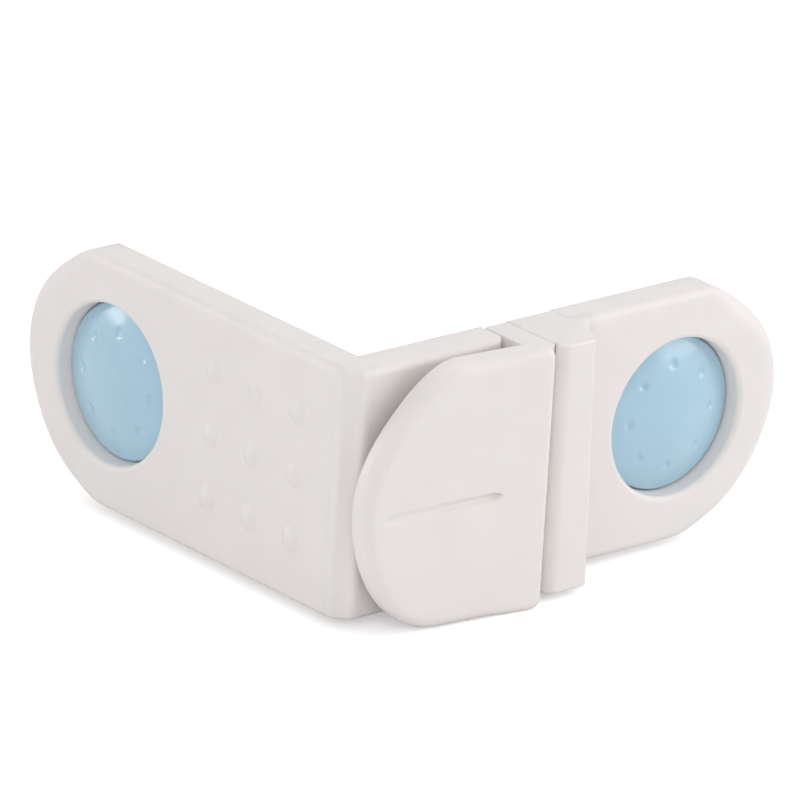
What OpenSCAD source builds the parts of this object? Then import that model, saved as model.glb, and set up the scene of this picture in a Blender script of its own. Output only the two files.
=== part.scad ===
// Right-angle cabinet safety lock, in millimetres
// The origin is the foot of the cabinet's upright edge. The long arm sticks to
// the cabinet's side, in the plane X = 0, and the catch pad to the drawer's
// front, in the plane Y = 0. Both face away from the cabinet, and +Z is up.

/* [Plates] */
// Height of the arms and of the catch pad
arm_h = 42; // [38:0.5:48]
// Thickness of the arms and of the catch pad
arm_t = 6.2; // [5.8:0.1:7]
// Rounding of the long front edges
edge_r = 1.45; // [0.8:0.05:1.8]
// How far a round end is wider than half the height
end_over = 1.5; // [0.8:0.1:3]
// Width of the soft rounding along a round end
end_soft_w = 3.5; // [2:0.1:4]
// Depth of the soft rounding along a round end
end_soft_d = 3; // [2:0.1:4]
// Skin left in front of the cored back
skin_t = 2.2; // [1.8:0.1:2.6]
// Thickness of the ribs between the cored pockets
rib_t = 1.4; // [1:0.1:2]
// Solid margin around a field of cored pockets
core_margin = 2.6; // [2:0.1:4]

/* [Long arm] */
// Inner corner to the centre of the round end
long_reach = 53; // [51:0.5:65]
// Inner corner to the first column of grip bumps
bump_start = 6.6; // [6:0.1:9]
// Distance between bump columns
bump_pitch_u = 10.3; // [8:0.1:10.6]
// Distance between bump rows
bump_pitch_z = 10.66; // [8:0.1:12]
// Radius of a bump where it leaves the face
bump_r = 1.65; // [1:0.05:2.2]
// Height of a bump
bump_h = 0.8; // [0.4:0.05:1.2]
// Inner corner to the end of the cored field
long_core_end = 29; // [24:0.5:32]

/* [Corner hinge] */
// Opening left between the two mitre faces
mitre_gap = 0.3; // [0.2:0.05:0.5]
// Half the width of the thin web, measured across the corner
web_half = 1.55; // [1.2:0.05:2]
// Thickness of the web
web_t = 0.8; // [0.5:0.05:1]
// Depth of the web's outer face below the sharp outer corner
web_sink = 2.17; // [1.9:0.01:2.5]
// Open space behind the web
web_relief = 0.3; // [0.2:0.05:0.6]
// How far the web stops short of the top and bottom faces
web_inset = 0.3; // [0.1:0.05:1]
// Joint gap between the web and the strap
web_gap = 0.05; // [0.02:0.01:0.1]

/* [Strap] */
// Inner corner to the end face of the strap
strap_len = 24.8; // [23:0.1:27]
// Height of one pivot lug
lug_h = 6; // [4:0.5:8]
// Distance between the two lugs
lug_pitch = 22; // [14:0.5:26]
// Radius of a lug around its pin
lug_r = 1.7; // [1.5:0.05:1.8]

/* [Release lever] */
// Gap between the strap and the leg of the lever
leg_gap = 0.5; // [0.4:0.05:0.8]
// Width of the leg along the strap
leg_w = 4.7; // [4.5:0.1:6]
// Depth of the leg's rear face in front of the back plane
leg_back = 0.5; // [0.3:0.05:0.8]
// Depth of the leg's front face
leg_front = 12.4; // [11.8:0.1:12.8]
// Rounding of the leg's upright edges
leg_r = 0.4; // [0.2:0.05:0.6]
// Leg's left face to the pivot axis
pivot_in = 1.6; // [1.5:0.05:1.8]
// Leg's rear face to the pivot axis
pivot_deep = 1.8; // [1.7:0.05:2]
// Clearance around a lug in its notch
notch_gap = 0.35; // [0.3:0.05:0.4]
// Width of the press tab
tab_w = 33.9; // [30:0.1:36]
// Height of the press tab
tab_h = 44; // [40:0.5:50]
// Thickness of the press tab
tab_t = 4.3; // [3.5:0.1:4.6]
// How far the tab hangs below the arms
tab_drop = 1.2; // [0:0.1:2]
// Tilt of the tab towards the strap, in degrees
tab_tilt = 5.7; // [4:0.1:6]
// Depth of the tab's front face at its right edge
tab_front = 15.74; // [15.6:0.01:16.4]
// Tab's right edge inside the leg's right face
tab_step = 2.6; // [2:0.1:3]
// Rounding of the tab's front edge
tab_r = 1.5; // [1:0.05:1.8]
// Rounding of the tab's back edge
tab_back_r = 0.4; // [0.2:0.05:0.8]
// Corner radius of the tab's upright edge
tab_corner_r = 1.8; // [1.6:0.1:3]
// Length of the grip groove
groove_l = 23.6; // [15:0.1:26]
// Width of the grip groove
groove_w = 1.6; // [1:0.1:2.4]
// Depth of the grip groove
groove_d = 0.7; // [0.4:0.05:1.2]
// Height of the grip groove's left end
groove_z = 19; // [15:0.5:25]
// Slope of the grip groove, in degrees
groove_slope = 1.9; // [0:0.1:4]
// Tab's left edge to the start of the groove
groove_start = 1.5; // [0:0.1:5]

/* [Tooth and pocket] */
// Height of the tooth
tooth_h = 18; // [12:0.5:24]
// Reach of the tooth past the leg
tooth_reach = 0.65; // [0.6:0.01:0.68]
// Depth of the tooth's holding face
tooth_back = 9.6; // [9.4:0.1:9.8]
// Length of the tooth's flat crest
tooth_crest = 0.8; // [0.4:0.1:1]
// Length of the tooth's lead-in slope
tooth_lead = 1.6; // [1:0.1:1.8]
// Clearance around the tooth in its pocket
tooth_gap = 0.3; // [0.25:0.05:0.4]

/* [Pin and spring] */
// Radius of the lever's pin
pin_r = 0.9; // [0.8:0.01:0.95]
// Radial running clearance of the pin in the lever
pin_play = 0.06; // [0.03:0.01:0.1]
// Length of the pin
pin_len = 34; // [32:0.5:36]
// Height of the pin's lower end
pin_z = 4; // [3:0.1:5]
// Strap's end face to the spring's axis
spring_in = 11.8; // [8:0.1:14]
// Radius of the spring at the middle of its wire
spring_r = 1.6; // [1.4:0.05:1.8]
// Radius of the spring's wire
wire_r = 0.26; // [0.2:0.01:0.3]
// Turns of the spring
spring_turns = 5; // [4:1:5]
// Depth of the spring's seats
seat_d = 1.1; // [0.8:0.05:1.2]
// Clearance around the spring in its seats
seat_gap = 0.4; // [0.3:0.05:0.6]

/* [Catch pad] */
// Gap between the leg and the catch block
block_gap = 0.3; // [0.25:0.05:0.4]
// Width of the catch block at its front
block_w = 6.5; // [5.5:0.1:8]
// Width of the catch block where it meets the pad
block_foot = 12.2; // [10:0.1:13]
// Depth of the catch block's front face
block_front = 14.1; // [13.8:0.1:15]
// Rounding of the block's upright front edges
block_r = 1; // [0.5:0.05:1.5]
// Inner corner to the centre of the catch pad's round end
catch_reach = 62.4; // [61:0.1:75]
// Width of the cored pockets in the block
block_core_w = 3.5; // [2.5:0.1:4]

/* [Caps and recesses] */
// Radius of a cap
cap_r = 13.2; // [12:0.1:13.6]
// Dark gap around a cap
cap_gap = 0.6; // [0.4:0.05:0.9]
// Depth of a cap's edge below the front face
cap_sink = 3; // [2.8:0.05:3.1]
// Rise of a cap's dome
cap_rise = 1.9; // [1.2:0.05:2.4]
// Wall of a cap
cap_t = 1; // [0.8:0.05:1.05]
// Rounding of a cap's edge
cap_edge_r = 0.6; // [0.4:0.05:0.8]
// Depth of a recess below the front face
recess_d = 4.2; // [4.1:0.05:4.4]
// Draft of the recess wall
recess_draft = 0.25; // [0.1:0.05:0.5]
// Width of the soft slope around a recess
rim_w = 1.7; // [1:0.1:2]
// Depth of the soft slope around a recess
rim_d = 0.8; // [0.4:0.05:1.2]
// Outer radius of the snap boss on a recess floor
boss_r = 10; // [8:0.1:10.4]
// Height of the snap boss
boss_h = 0.9; // [0.6:0.05:1]
// Wall of the snap boss and of the cap's ring
ring_t = 1; // [0.8:0.05:1.2]
// Clearance of a cap on its boss and above its floor
snap_gap = 0.1; // [0.06:0.01:0.15]

/* [Fixing] */
// Radius of a screw hole
screw_r = 2.1; // [1.8:0.05:2.5]
// Thickness of a foam adhesive pad
foam_t = 1; // [0.8:0.05:1.2]
// Thickness of a release liner
liner_t = 0.2; // [0.1:0.02:0.3]
// Foam pad inside the outline of its plate
foam_inset = 3; // [2:0.1:5]
// Straight tail of a foam pad, from its round end's centre
foam_tail = 16; // [12:0.5:20]
// Radius of the hole through a foam pad and its liner
foam_hole_r = 3; // [2.6:0.1:4]
// Liner outside the outline of its foam pad
liner_lip = 0.8; // [0.4:0.05:1.5]
// Width of a liner's pull tab
pull_w = 9; // [6:0.5:12]
// Length of a liner's pull tab
pull_l = 5; // [3:0.5:7]

/* [Hidden] */
$fn = 72;

// Overrun of every cut
over = 1;
// Reach of a cut that has to clear the whole part
clear_of_all = 3 * arm_h;
// Steps in a rounding
arc_steps = 5;
// Steps along each curve of the tab's outline
curve_steps = 14;

white = [0.93, 0.92, 0.91];
sky = [0.63, 0.79, 0.87];
steel = [0.72, 0.73, 0.75];
foam_grey = [0.86, 0.86, 0.84];
liner_yellow = [0.93, 0.9, 0.72];

// Back faces of the mouldings stand off the cabinet by the adhesive
stand_off = foam_t + liner_t;
mid_z = arm_h / 2;
end_r = arm_h / 2 + end_over;
floor_t = arm_t - recess_d;
core_d = arm_t - skin_t;

// Corner, measured along the diagonal from the inner corner
diagonal = arm_t * sqrt(2);
web_out = diagonal - web_sink;
web_in = web_out - web_t;
flare_w = web_half + edge_r;
flare_start = web_out + (diagonal - web_half - web_out) / 2;

// Lever, in the strap's frame
leg_u = strap_len + leg_gap;
leg_end = leg_u + leg_w;
pivot_u = leg_u + pivot_in;
pivot_d = leg_back + pivot_deep;
tab_right = leg_end - tab_step;
lug_zs = [mid_z - lug_pitch / 2, mid_z + lug_pitch / 2];
tab_left = tab_right - tab_w;
spring_u = strap_len - spring_in;
// The tab's back face at the spring
tab_back_at_spring = tab_front - (tab_right - spring_u) * tan(tab_tilt) - tab_t / cos(tab_tilt);
spring_from = arm_t - seat_d;
spring_to = tab_back_at_spring + seat_d;
end_play = pin_play;

// Catch pad
catch_u = leg_end + block_gap;
pocket_d = tooth_reach + tooth_gap - block_gap;

// Cap, measured forwards from the back plane
cap_edge_z = arm_t - cap_sink;
cap_base_z = floor_t + snap_gap;
cap_crown_z = cap_edge_z + cap_rise;
dome_r = (cap_r * cap_r + cap_rise * cap_rise) / (2 * cap_rise);
cap_ring_in = boss_r + snap_gap;
cap_ring_out = cap_ring_in + ring_t;

// Points of the tab's curves as shares of its width and height
tab_top_shares = [[0.452, 1], [0.227, 0.8545], [0, 0.72], [0, 0.4477]];
tab_low_shares = [[0, 0.4477], [0, 0.2673], [0.14, 0], [0.4366, 0]];
// Rise along the slope around a recess, outside to inside
rim_shares = [[1, 0], [0.82, 0.04], [0.62, 0.16], [0.42, 0.38], [0.22, 0.66], [0.06, 0.9], [0, 1]];

function arc_points(centre, r, from, to, steps) =
    [for (i = [0 : steps]) centre + r * [cos(from + (to - from) * i / steps), sin(from + (to - from) * i / steps)]];

function bezier(p, t) =
    p[0] * pow(1 - t, 3) + 3 * p[1] * t * pow(1 - t, 2) + 3 * p[2] * t * t * (1 - t) + p[3] * pow(t, 3);

// One rounded corner of a counter-clockwise outline, between its two neighbours
function corner_points(before, at, after, r) =
    let (
        u = (before - at) / norm(before - at),
        v = (after - at) / norm(after - at),
        half = acos(u * v) / 2,
        centre = at + (u + v) / norm(u + v) * r / sin(half),
        start = at + u * r / tan(half) - centre,
        from = atan2(start[1], start[0])
    )
    arc_points(centre, r, from, from + 180 - 2 * half, arc_steps);

function rounded_outline(points, radii) =
    [for (i = [0 : len(points) - 1])
        each radii[i] == 0
            ? [points[i]]
            : corner_points(points[(i + len(points) - 1) % len(points)], points[i],
                points[(i + 1) % len(points)], radii[i])];

// The long arm's frame is the strap's, mirrored in the corner's diagonal
module on_strap() {
    translate([-stand_off, -stand_off, 0]) children();
}

module on_long_arm() {
    on_strap() mirror([1, -1, 0]) children();
}

// Children stand on the back plane at a round end, with +Z forwards
module on_end(reach) {
    translate([reach, 0, mid_z]) rotate([90, 0, 0]) children();
}

// Children are an outline seen from above, with the front towards -Y
module upright(z, h) {
    translate([0, 0, z]) linear_extrude(h) children();
}

module bar_section() {
    translate([-arm_t, edge_r]) square([arm_t, arm_h - 2 * edge_r]);
    translate([-arm_t + edge_r, 0]) square([arm_t - edge_r, arm_h]);
    for (z = [edge_r, arm_h - edge_r]) {
        translate([-arm_t + edge_r, z]) circle(edge_r);
    }
}

module bar(from, to) {
    translate([from, 0, 0]) rotate([90, 0, 90]) linear_extrude(to - from) bar_section();
}

module round_end() {
    soft = [for (i = [0 : arc_steps + 2])
        [end_r - end_soft_w + end_soft_w * cos(90 * i / (arc_steps + 2)),
            arm_t - end_soft_d + end_soft_d * sin(90 * i / (arc_steps + 2))]];
    rotate_extrude() polygon(concat([[0, 0], [end_r, 0]], soft, [[0, arm_t]]));
}

module plate(from, reach) {
    intersection() {
        bar(from, reach + end_r + over);
        union() {
            translate([from - over, -arm_t - over, -over])
                cube([reach - from + over, arm_t + 2 * over, arm_h + 2 * over]);
            on_end(reach) round_end();
        }
    }
}

module cap_recess() {
    wall_r = cap_r + cap_gap;
    slope = [for (s = rim_shares) [wall_r + recess_draft + rim_w * s[0], arm_t - rim_d * s[1]]];
    rotate_extrude()
        polygon(concat([[0, floor_t], [wall_r, floor_t]],
            [for (i = [len(slope) - 1 : -1 : 0]) slope[i]],
            [[wall_r + recess_draft + rim_w, arm_t + over], [0, arm_t + over]]));
}

module snap_boss() {
    translate([0, 0, floor_t - over / 2])
        difference() {
            cylinder(h = boss_h + over / 2, r = boss_r);
            translate([0, 0, -over]) cylinder(h = boss_h + 3 * over, r = boss_r - ring_t);
        }
}

module screw_hole() {
    translate([0, 0, -over]) cylinder(h = floor_t + 2 * over, r = screw_r);
}

// A field of blind pockets in the back, with ribs between them
module cored_field(from, to, deep, most_w) {
    cols = ceil((to - from + rib_t) / (most_w + rib_t));
    tall = arm_h - 2 * core_margin;
    rows = ceil((tall + rib_t) / (most_w + rib_t));
    w = (to - from + rib_t) / cols - rib_t;
    h = (tall + rib_t) / rows - rib_t;
    for (c = [0 : cols - 1], r = [0 : rows - 1]) {
        translate([from + c * (w + rib_t), -deep, core_margin + r * (h + rib_t)])
            cube([w, deep + over, h]);
    }
}

// Cuts the mitre, the space behind the web and the shallow flute outside it
module corner_cut() {
    rotate([0, 0, 225])
        upright(-over, arm_h + 2 * over)
            polygon([
                [-clear_of_all, -clear_of_all], [-clear_of_all, mitre_gap / 2],
                [web_in - web_relief, mitre_gap / 2], [web_in - web_relief, web_half],
                [flare_start, web_half], [flare_start + edge_r, flare_w],
                [clear_of_all, flare_w], [clear_of_all, -clear_of_all]
            ]);
}

module grip_bump() {
    ball_r = (bump_r * bump_r + bump_h * bump_h) / (2 * bump_h);
    intersection() {
        translate([0, 0, arm_t + bump_h - ball_r]) sphere(ball_r);
        translate([0, 0, arm_t - edge_r / 2]) cylinder(h = bump_h + edge_r, r = ball_r + over);
    }
}

module long_arm() {
    color(white) on_long_arm() {
        difference() {
            plate(-arm_t, long_reach);
            corner_cut();
            on_end(long_reach) cap_recess();
            on_end(long_reach) screw_hole();
            cored_field(core_margin, long_core_end, core_d, leg_w + core_margin);
        }
        on_end(long_reach) snap_boss();
        for (c = [0 : 2], r = [-1 : 1]) {
            translate([0, 0, r * bump_pitch_z]) on_end(bump_start + c * bump_pitch_u) grip_bump();
        }
    }
}

module hinge_web() {
    color(white) on_strap()
        rotate([0, 0, 225])
            upright(web_inset, arm_h - 2 * web_inset)
                translate([web_in, -web_half]) square([web_t, 2 * web_half - web_gap]);
}

module lug(z, grow) {
    upright(z - lug_h / 2 - grow, lug_h + 2 * grow) {
        translate([pivot_u, -pivot_d]) circle(lug_r + grow);
        translate([strap_len - edge_r - grow, -pivot_d - lug_r - grow])
            square([pivot_in + leg_gap + edge_r + grow, 2 * (lug_r + grow)]);
    }
}

module pivot_hole(r, z, h) {
    translate([pivot_u, -pivot_d, z]) cylinder(h = h, r = r);
}

module spring_seat(from, h) {
    translate([spring_u, -from, mid_z]) rotate([90, 0, 0])
        cylinder(h = h, r = spring_r + wire_r + seat_gap);
}

module strap_end_rounding() {
    upright(-over, arm_h + 2 * over)
        difference() {
            translate([strap_len - edge_r, -arm_t - over]) square([edge_r + over, edge_r + over]);
            translate([strap_len - edge_r, -arm_t + edge_r]) circle(edge_r);
        }
}

module strap() {
    color(white) on_strap()
        difference() {
            union() {
                difference() {
                    bar(-arm_t, strap_len);
                    strap_end_rounding();
                }
                for (z = lug_zs) {
                    lug(z, 0);
                }
            }
            corner_cut();
            pivot_hole(pin_r, pin_z - over, pin_len + 2 * over);
            spring_seat(spring_from, seat_d + over);
            cored_field(core_margin, strap_len - core_margin, core_d, leg_w + core_margin);
        }
}

// The tab's outline in its own plane, seen from the front, from its left edge
function tab_outline() =
    concat(
        arc_points([tab_w - tab_corner_r, tab_corner_r], tab_corner_r, -90, 0, arc_steps),
        arc_points([tab_w - tab_corner_r, tab_h - tab_corner_r], tab_corner_r, 0, 90, arc_steps),
        [for (i = [0 : curve_steps - 1]) tab_curve_point(tab_top_shares, i / curve_steps)],
        [for (i = [0 : curve_steps]) tab_curve_point(tab_low_shares, i / curve_steps)]
    );

function tab_curve_point(shares, t) =
    let (p = bezier(shares, t)) [p[0] * tab_w, p[1] * tab_h];

// The outline drawn in by a distance, along the normal at each point
function drawn_in(points, by) =
    [for (i = [0 : len(points) - 1])
        let (
            way = points[(i + 1) % len(points)] - points[(i + len(points) - 1) % len(points)],
            normal = [way[1], -way[0]] / norm(way)
        )
        points[i] - by * normal];

// The tab as rings of its outline, from the back face to the front face
module tab_plate() {
    outline = tab_outline();
    count = len(outline);
    rings = concat(
        [[tab_t, tab_back_r], [tab_t - tab_back_r, 0]],
        [for (i = [0 : arc_steps])
            [tab_r - tab_r * sin(90 * i / arc_steps), tab_r - tab_r * cos(90 * i / arc_steps)]]
    );
    points = [for (ring = rings) each [for (p = drawn_in(outline, ring[1])) [p[0], ring[0], p[1]]]];
    sides = [for (k = [0 : len(rings) - 2], i = [0 : count - 1])
        let (a = k * count + i, b = k * count + (i + 1) % count)
        each [[a, b + count, b], [a, a + count, b + count]]];
    back = [for (i = [0 : count - 1]) i];
    front = [for (i = [count - 1 : -1 : 0]) (len(rings) - 1) * count + i];
    polyhedron(points = points, faces = concat([back], sides, [front]), convexity = 2);
}

module grip_groove() {
    translate([groove_start, 0, groove_z + tab_drop])
        rotate([0, -groove_slope, 0])
            rotate([90, 0, 90])
                linear_extrude(groove_l)
                    polygon([[-over, groove_w / 2], [0, groove_w / 2], [groove_d, 0],
                        [0, -groove_w / 2], [-over, -groove_w / 2]]);
}

module press_tab() {
    translate([tab_right, -tab_front, -tab_drop])
        rotate([0, 0, -tab_tilt])
            translate([-tab_w, 0, 0])
                difference() {
                    tab_plate();
                    grip_groove();
                }
}

module leg() {
    upright(0, arm_h)
        polygon(rounded_outline(
            [[leg_u, -leg_back], [leg_u, -leg_front], [leg_end, -leg_front], [leg_end, -leg_back]],
            [leg_r, leg_r, leg_r, leg_r]));
}

module tooth() {
    upright(mid_z - tooth_h / 2, tooth_h)
        polygon([
            [leg_end - over, -tooth_back],
            [leg_end - over, -tooth_back - tooth_crest - tooth_lead],
            [leg_end, -tooth_back - tooth_crest - tooth_lead],
            [leg_end + tooth_reach, -tooth_back - tooth_crest],
            [leg_end + tooth_reach, -tooth_back]
        ]);
}

module release_lever() {
    color(white) on_strap()
        difference() {
            union() {
                leg();
                press_tab();
                tooth();
            }
            for (z = lug_zs) {
                lug(z, notch_gap);
                upright(z - lug_h / 2 - notch_gap, lug_h + 2 * notch_gap)
                    translate([leg_u - over, -pivot_d])
                        square([pivot_in + lug_r + notch_gap + over, pivot_deep + over]);
            }
            pivot_hole(pin_r + pin_play, -over, pin_z + pin_len + end_play + over);
            spring_seat(tab_back_at_spring - over, seat_d + over);
        }
}

module lever_pin() {
    color(steel) on_strap() pivot_hole(pin_r, pin_z, pin_len);
}

// Points along the spring's wire, with flat rests at both seats
function spring_point(t) =
    let (free = spring_to - spring_from - 2 * (wire_r + end_play))
    [spring_r * cos(360 * spring_turns * t), spring_r * sin(360 * spring_turns * t),
        wire_r + end_play + free * t];

module return_spring() {
    steps = 14 * spring_turns;
    sides = 6;
    path = [for (i = [0 : steps]) spring_point(i / steps)];
    lift = atan2((path[1] - path[0])[2], 2 * PI * spring_r * spring_turns / steps);
    points = [for (i = [0 : steps])
        let (turn = 360 * spring_turns * i / steps)
        each [for (s = [0 : sides - 1])
            let (
                outward = [cos(turn), sin(turn), 0],
                up = [sin(turn) * sin(lift), -cos(turn) * sin(lift), cos(lift)]
            )
            path[i] + wire_r * (cos(360 * s / sides) * outward + sin(360 * s / sides) * up)]];
    skin = [for (i = [0 : steps - 1], s = [0 : sides - 1])
        let (a = i * sides + s, b = i * sides + (s + 1) % sides)
        each [[a, b + sides, b], [a, a + sides, b + sides]]];
    first = [for (s = [0 : sides - 1]) s];
    last = [for (s = [sides - 1 : -1 : 0]) steps * sides + s];
    echo(spring_gap = (path[14] - path[0])[2] - 2 * wire_r);
    color(steel) on_strap()
        translate([spring_u, -spring_from, mid_z]) rotate([90, 0, 0])
            polyhedron(points = points, faces = concat([first], skin, [last]), convexity = 6);
}

module catch_block() {
    upright(0, arm_h)
        polygon(rounded_outline(
            [[catch_u, 0], [catch_u, -block_front], [catch_u + block_w, -block_front],
                [catch_u + block_foot, -arm_t + edge_r], [catch_u + block_foot, 0]],
            [0, block_r, block_r, 0, 0]));
}

module tooth_pocket() {
    translate([catch_u - over, -tooth_back - tooth_crest - tooth_lead - tooth_gap,
        mid_z - tooth_h / 2 - tooth_gap])
        cube([pocket_d + over, tooth_crest + tooth_lead + 2 * tooth_gap, tooth_h + 2 * tooth_gap]);
}

module catch_pad() {
    color(white) on_strap()
        difference() {
            union() {
                difference() {
                    plate(catch_u, catch_reach);
                    on_end(catch_reach) cap_recess();
                    on_end(catch_reach) screw_hole();
                }
                catch_block();
                on_end(catch_reach) snap_boss();
            }
            tooth_pocket();
            cored_field(catch_u + core_margin, catch_u + core_margin + block_core_w,
                block_front - skin_t, leg_w + core_margin);
        }
}

module cap() {
    outer = [for (i = [0 : 2 * arc_steps])
        let (r = (cap_r - cap_edge_r) * i / (2 * arc_steps))
        [r, cap_crown_z - dome_r + sqrt(dome_r * dome_r - r * r)]];
    rim_z = outer[2 * arc_steps][1];
    edge = [for (i = [1 : arc_steps])
        [cap_r - cap_edge_r + cap_edge_r * sin(90 * i / arc_steps),
            rim_z - cap_edge_r + cap_edge_r * cos(90 * i / arc_steps)]];
    // The underside follows the dome as far as the ring
    inner_r = cap_r - 2 * cap_t;
    inner = [for (i = [2 * arc_steps : -1 : 0])
        let (r = inner_r * i / (2 * arc_steps))
        [r, cap_crown_z - cap_t - dome_r + sqrt(dome_r * dome_r - r * r)]];
    rotate_extrude() polygon(concat(outer, edge, [[cap_r, cap_base_z], [inner_r, cap_base_z]], inner));
    translate([0, 0, cap_base_z])
        difference() {
            cylinder(h = boss_h, r = cap_ring_out);
            translate([0, 0, -over]) cylinder(h = boss_h + 2 * over, r = cap_ring_in);
        }
}

module left_cap() {
    color(sky) on_long_arm() on_end(long_reach) cap();
}

module right_cap() {
    color(sky) on_strap() on_end(catch_reach) cap();
}

module pad_outline(grow) {
    r = end_r - foam_inset + grow;
    h = arm_h - 2 * foam_inset + 2 * grow;
    difference() {
        union() {
            intersection() {
                circle(r);
                translate([-r, -h / 2]) square([2 * r, h]);
            }
            translate([-foam_tail - grow, -h / 2]) square([foam_tail + grow, h]);
        }
        circle(foam_hole_r);
    }
}

module foam_pad(reach) {
    on_end(reach) translate([0, 0, -foam_t]) linear_extrude(foam_t) pad_outline(0);
}

module liner(reach) {
    on_end(reach) translate([0, 0, -foam_t - liner_t])
        linear_extrude(liner_t) {
            pad_outline(liner_lip);
            translate([-foam_tail - liner_lip - pull_l, -pull_w / 2])
                square([pull_l + liner_lip, pull_w]);
        }
}

module left_foam_pad() {
    color(foam_grey) on_long_arm() foam_pad(long_reach);
}

module right_foam_pad() {
    color(foam_grey) on_strap() foam_pad(catch_reach);
}

module left_liner() {
    color(liner_yellow) on_long_arm() liner(long_reach);
}

module right_liner() {
    color(liner_yellow) on_strap() liner(catch_reach);
}

long_arm();
hinge_web();
strap();
release_lever();
lever_pin();
return_spring();
catch_pad();
left_cap();
right_cap();
left_foam_pad();
right_foam_pad();
left_liner();
right_liner();
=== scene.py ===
"""Dresses the right-angle cabinet safety lock: moulded plates, press lever, caps and adhesive."""

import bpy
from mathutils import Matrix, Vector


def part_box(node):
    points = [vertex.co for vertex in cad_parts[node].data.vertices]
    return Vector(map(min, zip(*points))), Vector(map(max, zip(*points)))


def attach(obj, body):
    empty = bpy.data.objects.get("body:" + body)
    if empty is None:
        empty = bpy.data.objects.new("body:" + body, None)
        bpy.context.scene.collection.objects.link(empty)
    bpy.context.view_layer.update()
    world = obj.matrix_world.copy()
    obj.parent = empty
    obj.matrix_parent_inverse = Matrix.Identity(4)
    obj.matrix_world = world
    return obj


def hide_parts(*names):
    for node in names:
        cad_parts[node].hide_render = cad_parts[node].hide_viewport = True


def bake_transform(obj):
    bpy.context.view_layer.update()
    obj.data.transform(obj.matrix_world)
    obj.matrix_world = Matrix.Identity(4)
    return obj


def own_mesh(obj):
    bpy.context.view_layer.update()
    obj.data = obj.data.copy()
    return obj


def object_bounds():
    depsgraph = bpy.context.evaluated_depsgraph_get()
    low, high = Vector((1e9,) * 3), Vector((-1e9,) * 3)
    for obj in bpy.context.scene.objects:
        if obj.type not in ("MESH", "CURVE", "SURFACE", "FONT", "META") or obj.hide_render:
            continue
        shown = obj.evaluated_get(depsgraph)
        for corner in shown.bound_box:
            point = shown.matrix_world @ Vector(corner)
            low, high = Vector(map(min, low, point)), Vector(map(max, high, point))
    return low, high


bl_info = {
    "name": "Cabinet Safety Lock",
    "version": (1, 0, 0),
    "blender": (4, 5, 0),
    "location": "View3D > Sidebar > Safety Lock",
    "description": "Builds the moulded pieces of a right-angle cabinet safety lock around its frame",
    "category": "Object",
}

import math
from types import SimpleNamespace

import bmesh
import bpy
from mathutils import Matrix, Vector

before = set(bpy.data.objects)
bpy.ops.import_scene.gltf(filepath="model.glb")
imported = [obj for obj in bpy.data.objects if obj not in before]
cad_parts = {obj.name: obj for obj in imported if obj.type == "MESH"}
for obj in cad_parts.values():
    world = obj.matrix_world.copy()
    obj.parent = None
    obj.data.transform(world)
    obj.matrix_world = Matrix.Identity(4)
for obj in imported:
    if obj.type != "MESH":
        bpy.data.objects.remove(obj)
CAD_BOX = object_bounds()

# Lengths below are in millimetres: the arms' height, its middle, the foam and liner behind a plate, and
# a plate's thickness.
MM = 0.001
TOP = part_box("long_arm")[1][2] / MM
MIDDLE = TOP / 2
BACK = -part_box("left_foam_pad")[0][0] / MM
PLATE = -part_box("strap")[0][1] / MM - BACK


def length(name, text, default, low, high):
    """A length, written here in millimetres and kept in metres."""
    return bpy.props.FloatProperty(name=name, description=text, default=default * MM, min=low * MM,
                                   max=high * MM, precision=5, unit="LENGTH")


def angle(name, text, default, low, high):
    """An angle, written here in degrees and kept in radians."""
    return bpy.props.FloatProperty(name=name, description=text, default=math.radians(default),
                                   min=math.radians(low), max=math.radians(high), subtype="ANGLE")


def colour(name, text, default):
    """A colour for a finish."""
    return bpy.props.FloatVectorProperty(name=name, description=text, default=default, size=3, min=0, max=1,
                                         subtype="COLOR")


class PlateSizes(bpy.types.PropertyGroup):
    """Sizes of the two arms and the catch pad"""
    edge_round: length("Edge rounding", "Radius along the straight front edges", 1.45, 0.5, 2)
    soft_w: length("End softness", "Width of the soft rounding along a round end", 3.5, 1, 4)
    soft_d: length("End depth", "Depth of the soft rounding along a round end", 3.0, 1, 4)
    back_break: length("Back edge", "Tiny rounding of the back edges", 0.2, 0.05, 0.5)
    end_r: length("End radius", "Radius of a round end", 22.5, 21.5, 24)
    long_reach: length("Long arm", "Inner corner to the centre of the long arm's round end", 53.0, 50, 70)
    catch_reach: length("Catch pad", "Inner corner to the centre of the pad's round end", 62.4, 60, 75)
    strap_end: length("Strap", "Inner corner to the end face of the strap", 24.8, 20, 30)
    core_depth: length("Core depth", "Depth of the cored pockets in the back", 4.0, 2, 4.5)
    core_margin: length("Core margin", "Solid margin around the cored pockets", 2.6, 1, 4)
    core_w: length("Core width", "Largest width of a cored pocket", 7.3, 4, 10)
    rib: length("Rib", "Thickness of the ribs between cored pockets", 1.4, 0.8, 2)
    core_round: length("Core rounding", "Rounding of a cored pocket's corners", 0.4, 0.1, 1)
    core_end: length("Core end", "Inner corner to the end of the long arm's pockets", 29.0, 20, 32)
    bump_start: length("First bumps", "Inner corner to the first column of grip bumps", 6.6, 5, 9)
    bump_u: length("Bump columns", "Distance between bump columns", 10.3, 8, 12)
    bump_z: length("Bump rows", "Distance between bump rows", 10.66, 8, 12)
    bump_r: length("Bump radius", "Radius of a bump's soft foot", 1.95, 1, 2.5)
    bump_h: length("Bump height", "Height of a bump", 0.8, 0.2, 1)


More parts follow.
